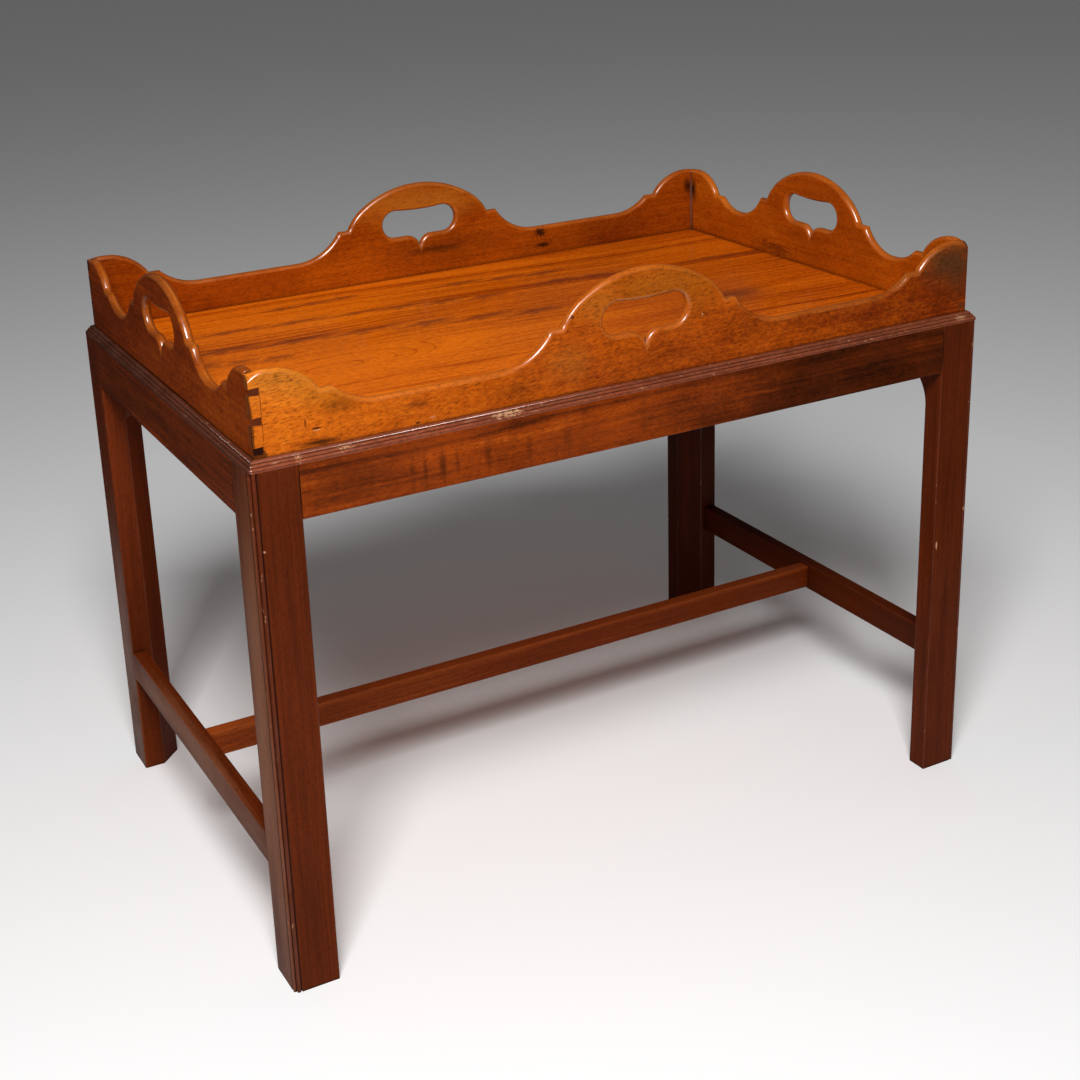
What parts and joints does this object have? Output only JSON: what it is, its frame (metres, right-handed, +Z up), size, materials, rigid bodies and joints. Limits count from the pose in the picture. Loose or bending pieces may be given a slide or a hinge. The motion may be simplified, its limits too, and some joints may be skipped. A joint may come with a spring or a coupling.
{
  "type": "butlers tray table",
  "caption": "Wooden butler's tray with shaped dovetailed sides and pierced hand-holes, resting in a reeded lip on a square-legged stand joined by stretchers; the tray lifts off to carry things.",
  "frame": {"origin": "centre of the footprint, on the floor under the legs", "axes": "+Z up, +X along the long side to the right as seen from the front, +Y from the front to the back"},
  "size_m": [0.78, 0.5, 0.617],
  "materials": {
    "stand_wood": "dark red-brown polished mahogany",
    "rail_wood": "dark polished mahogany with ribbon figure",
    "lip_wood": "dark polished mahogany, worn on the reeds",
    "floor_wood": "glossy orange-brown mahogany with straight dark streaks",
    "gallery_wood": "polished golden-brown mahogany"
  },
  "bodies": {
    "stand": {"leg_front_left": "stand_wood", "leg_front_right": "stand_wood", "leg_back_right": "stand_wood", "leg_back_left": "stand_wood", "rail_front": "rail_wood", "rail_right": "rail_wood", "rail_back": "rail_wood", "rail_left": "rail_wood", "lip_front": "lip_wood", "lip_right": "lip_wood", "lip_back": "lip_wood", "lip_left": "lip_wood", "stretcher_left": "stand_wood", "stretcher_right": "stand_wood", "stretcher_middle": "stand_wood"},
    "tray": {"tray_bottom": "floor_wood", "gallery_front": "gallery_wood", "gallery_back": "gallery_wood", "gallery_left": "gallery_wood", "gallery_right": "gallery_wood"}
  },
  "joints": [
    {"name": "tray_lift", "type": "slide", "parent": "stand", "child": "tray", "axis": [0, 0, 1], "range_m": [0, 0.25]}
  ]
}
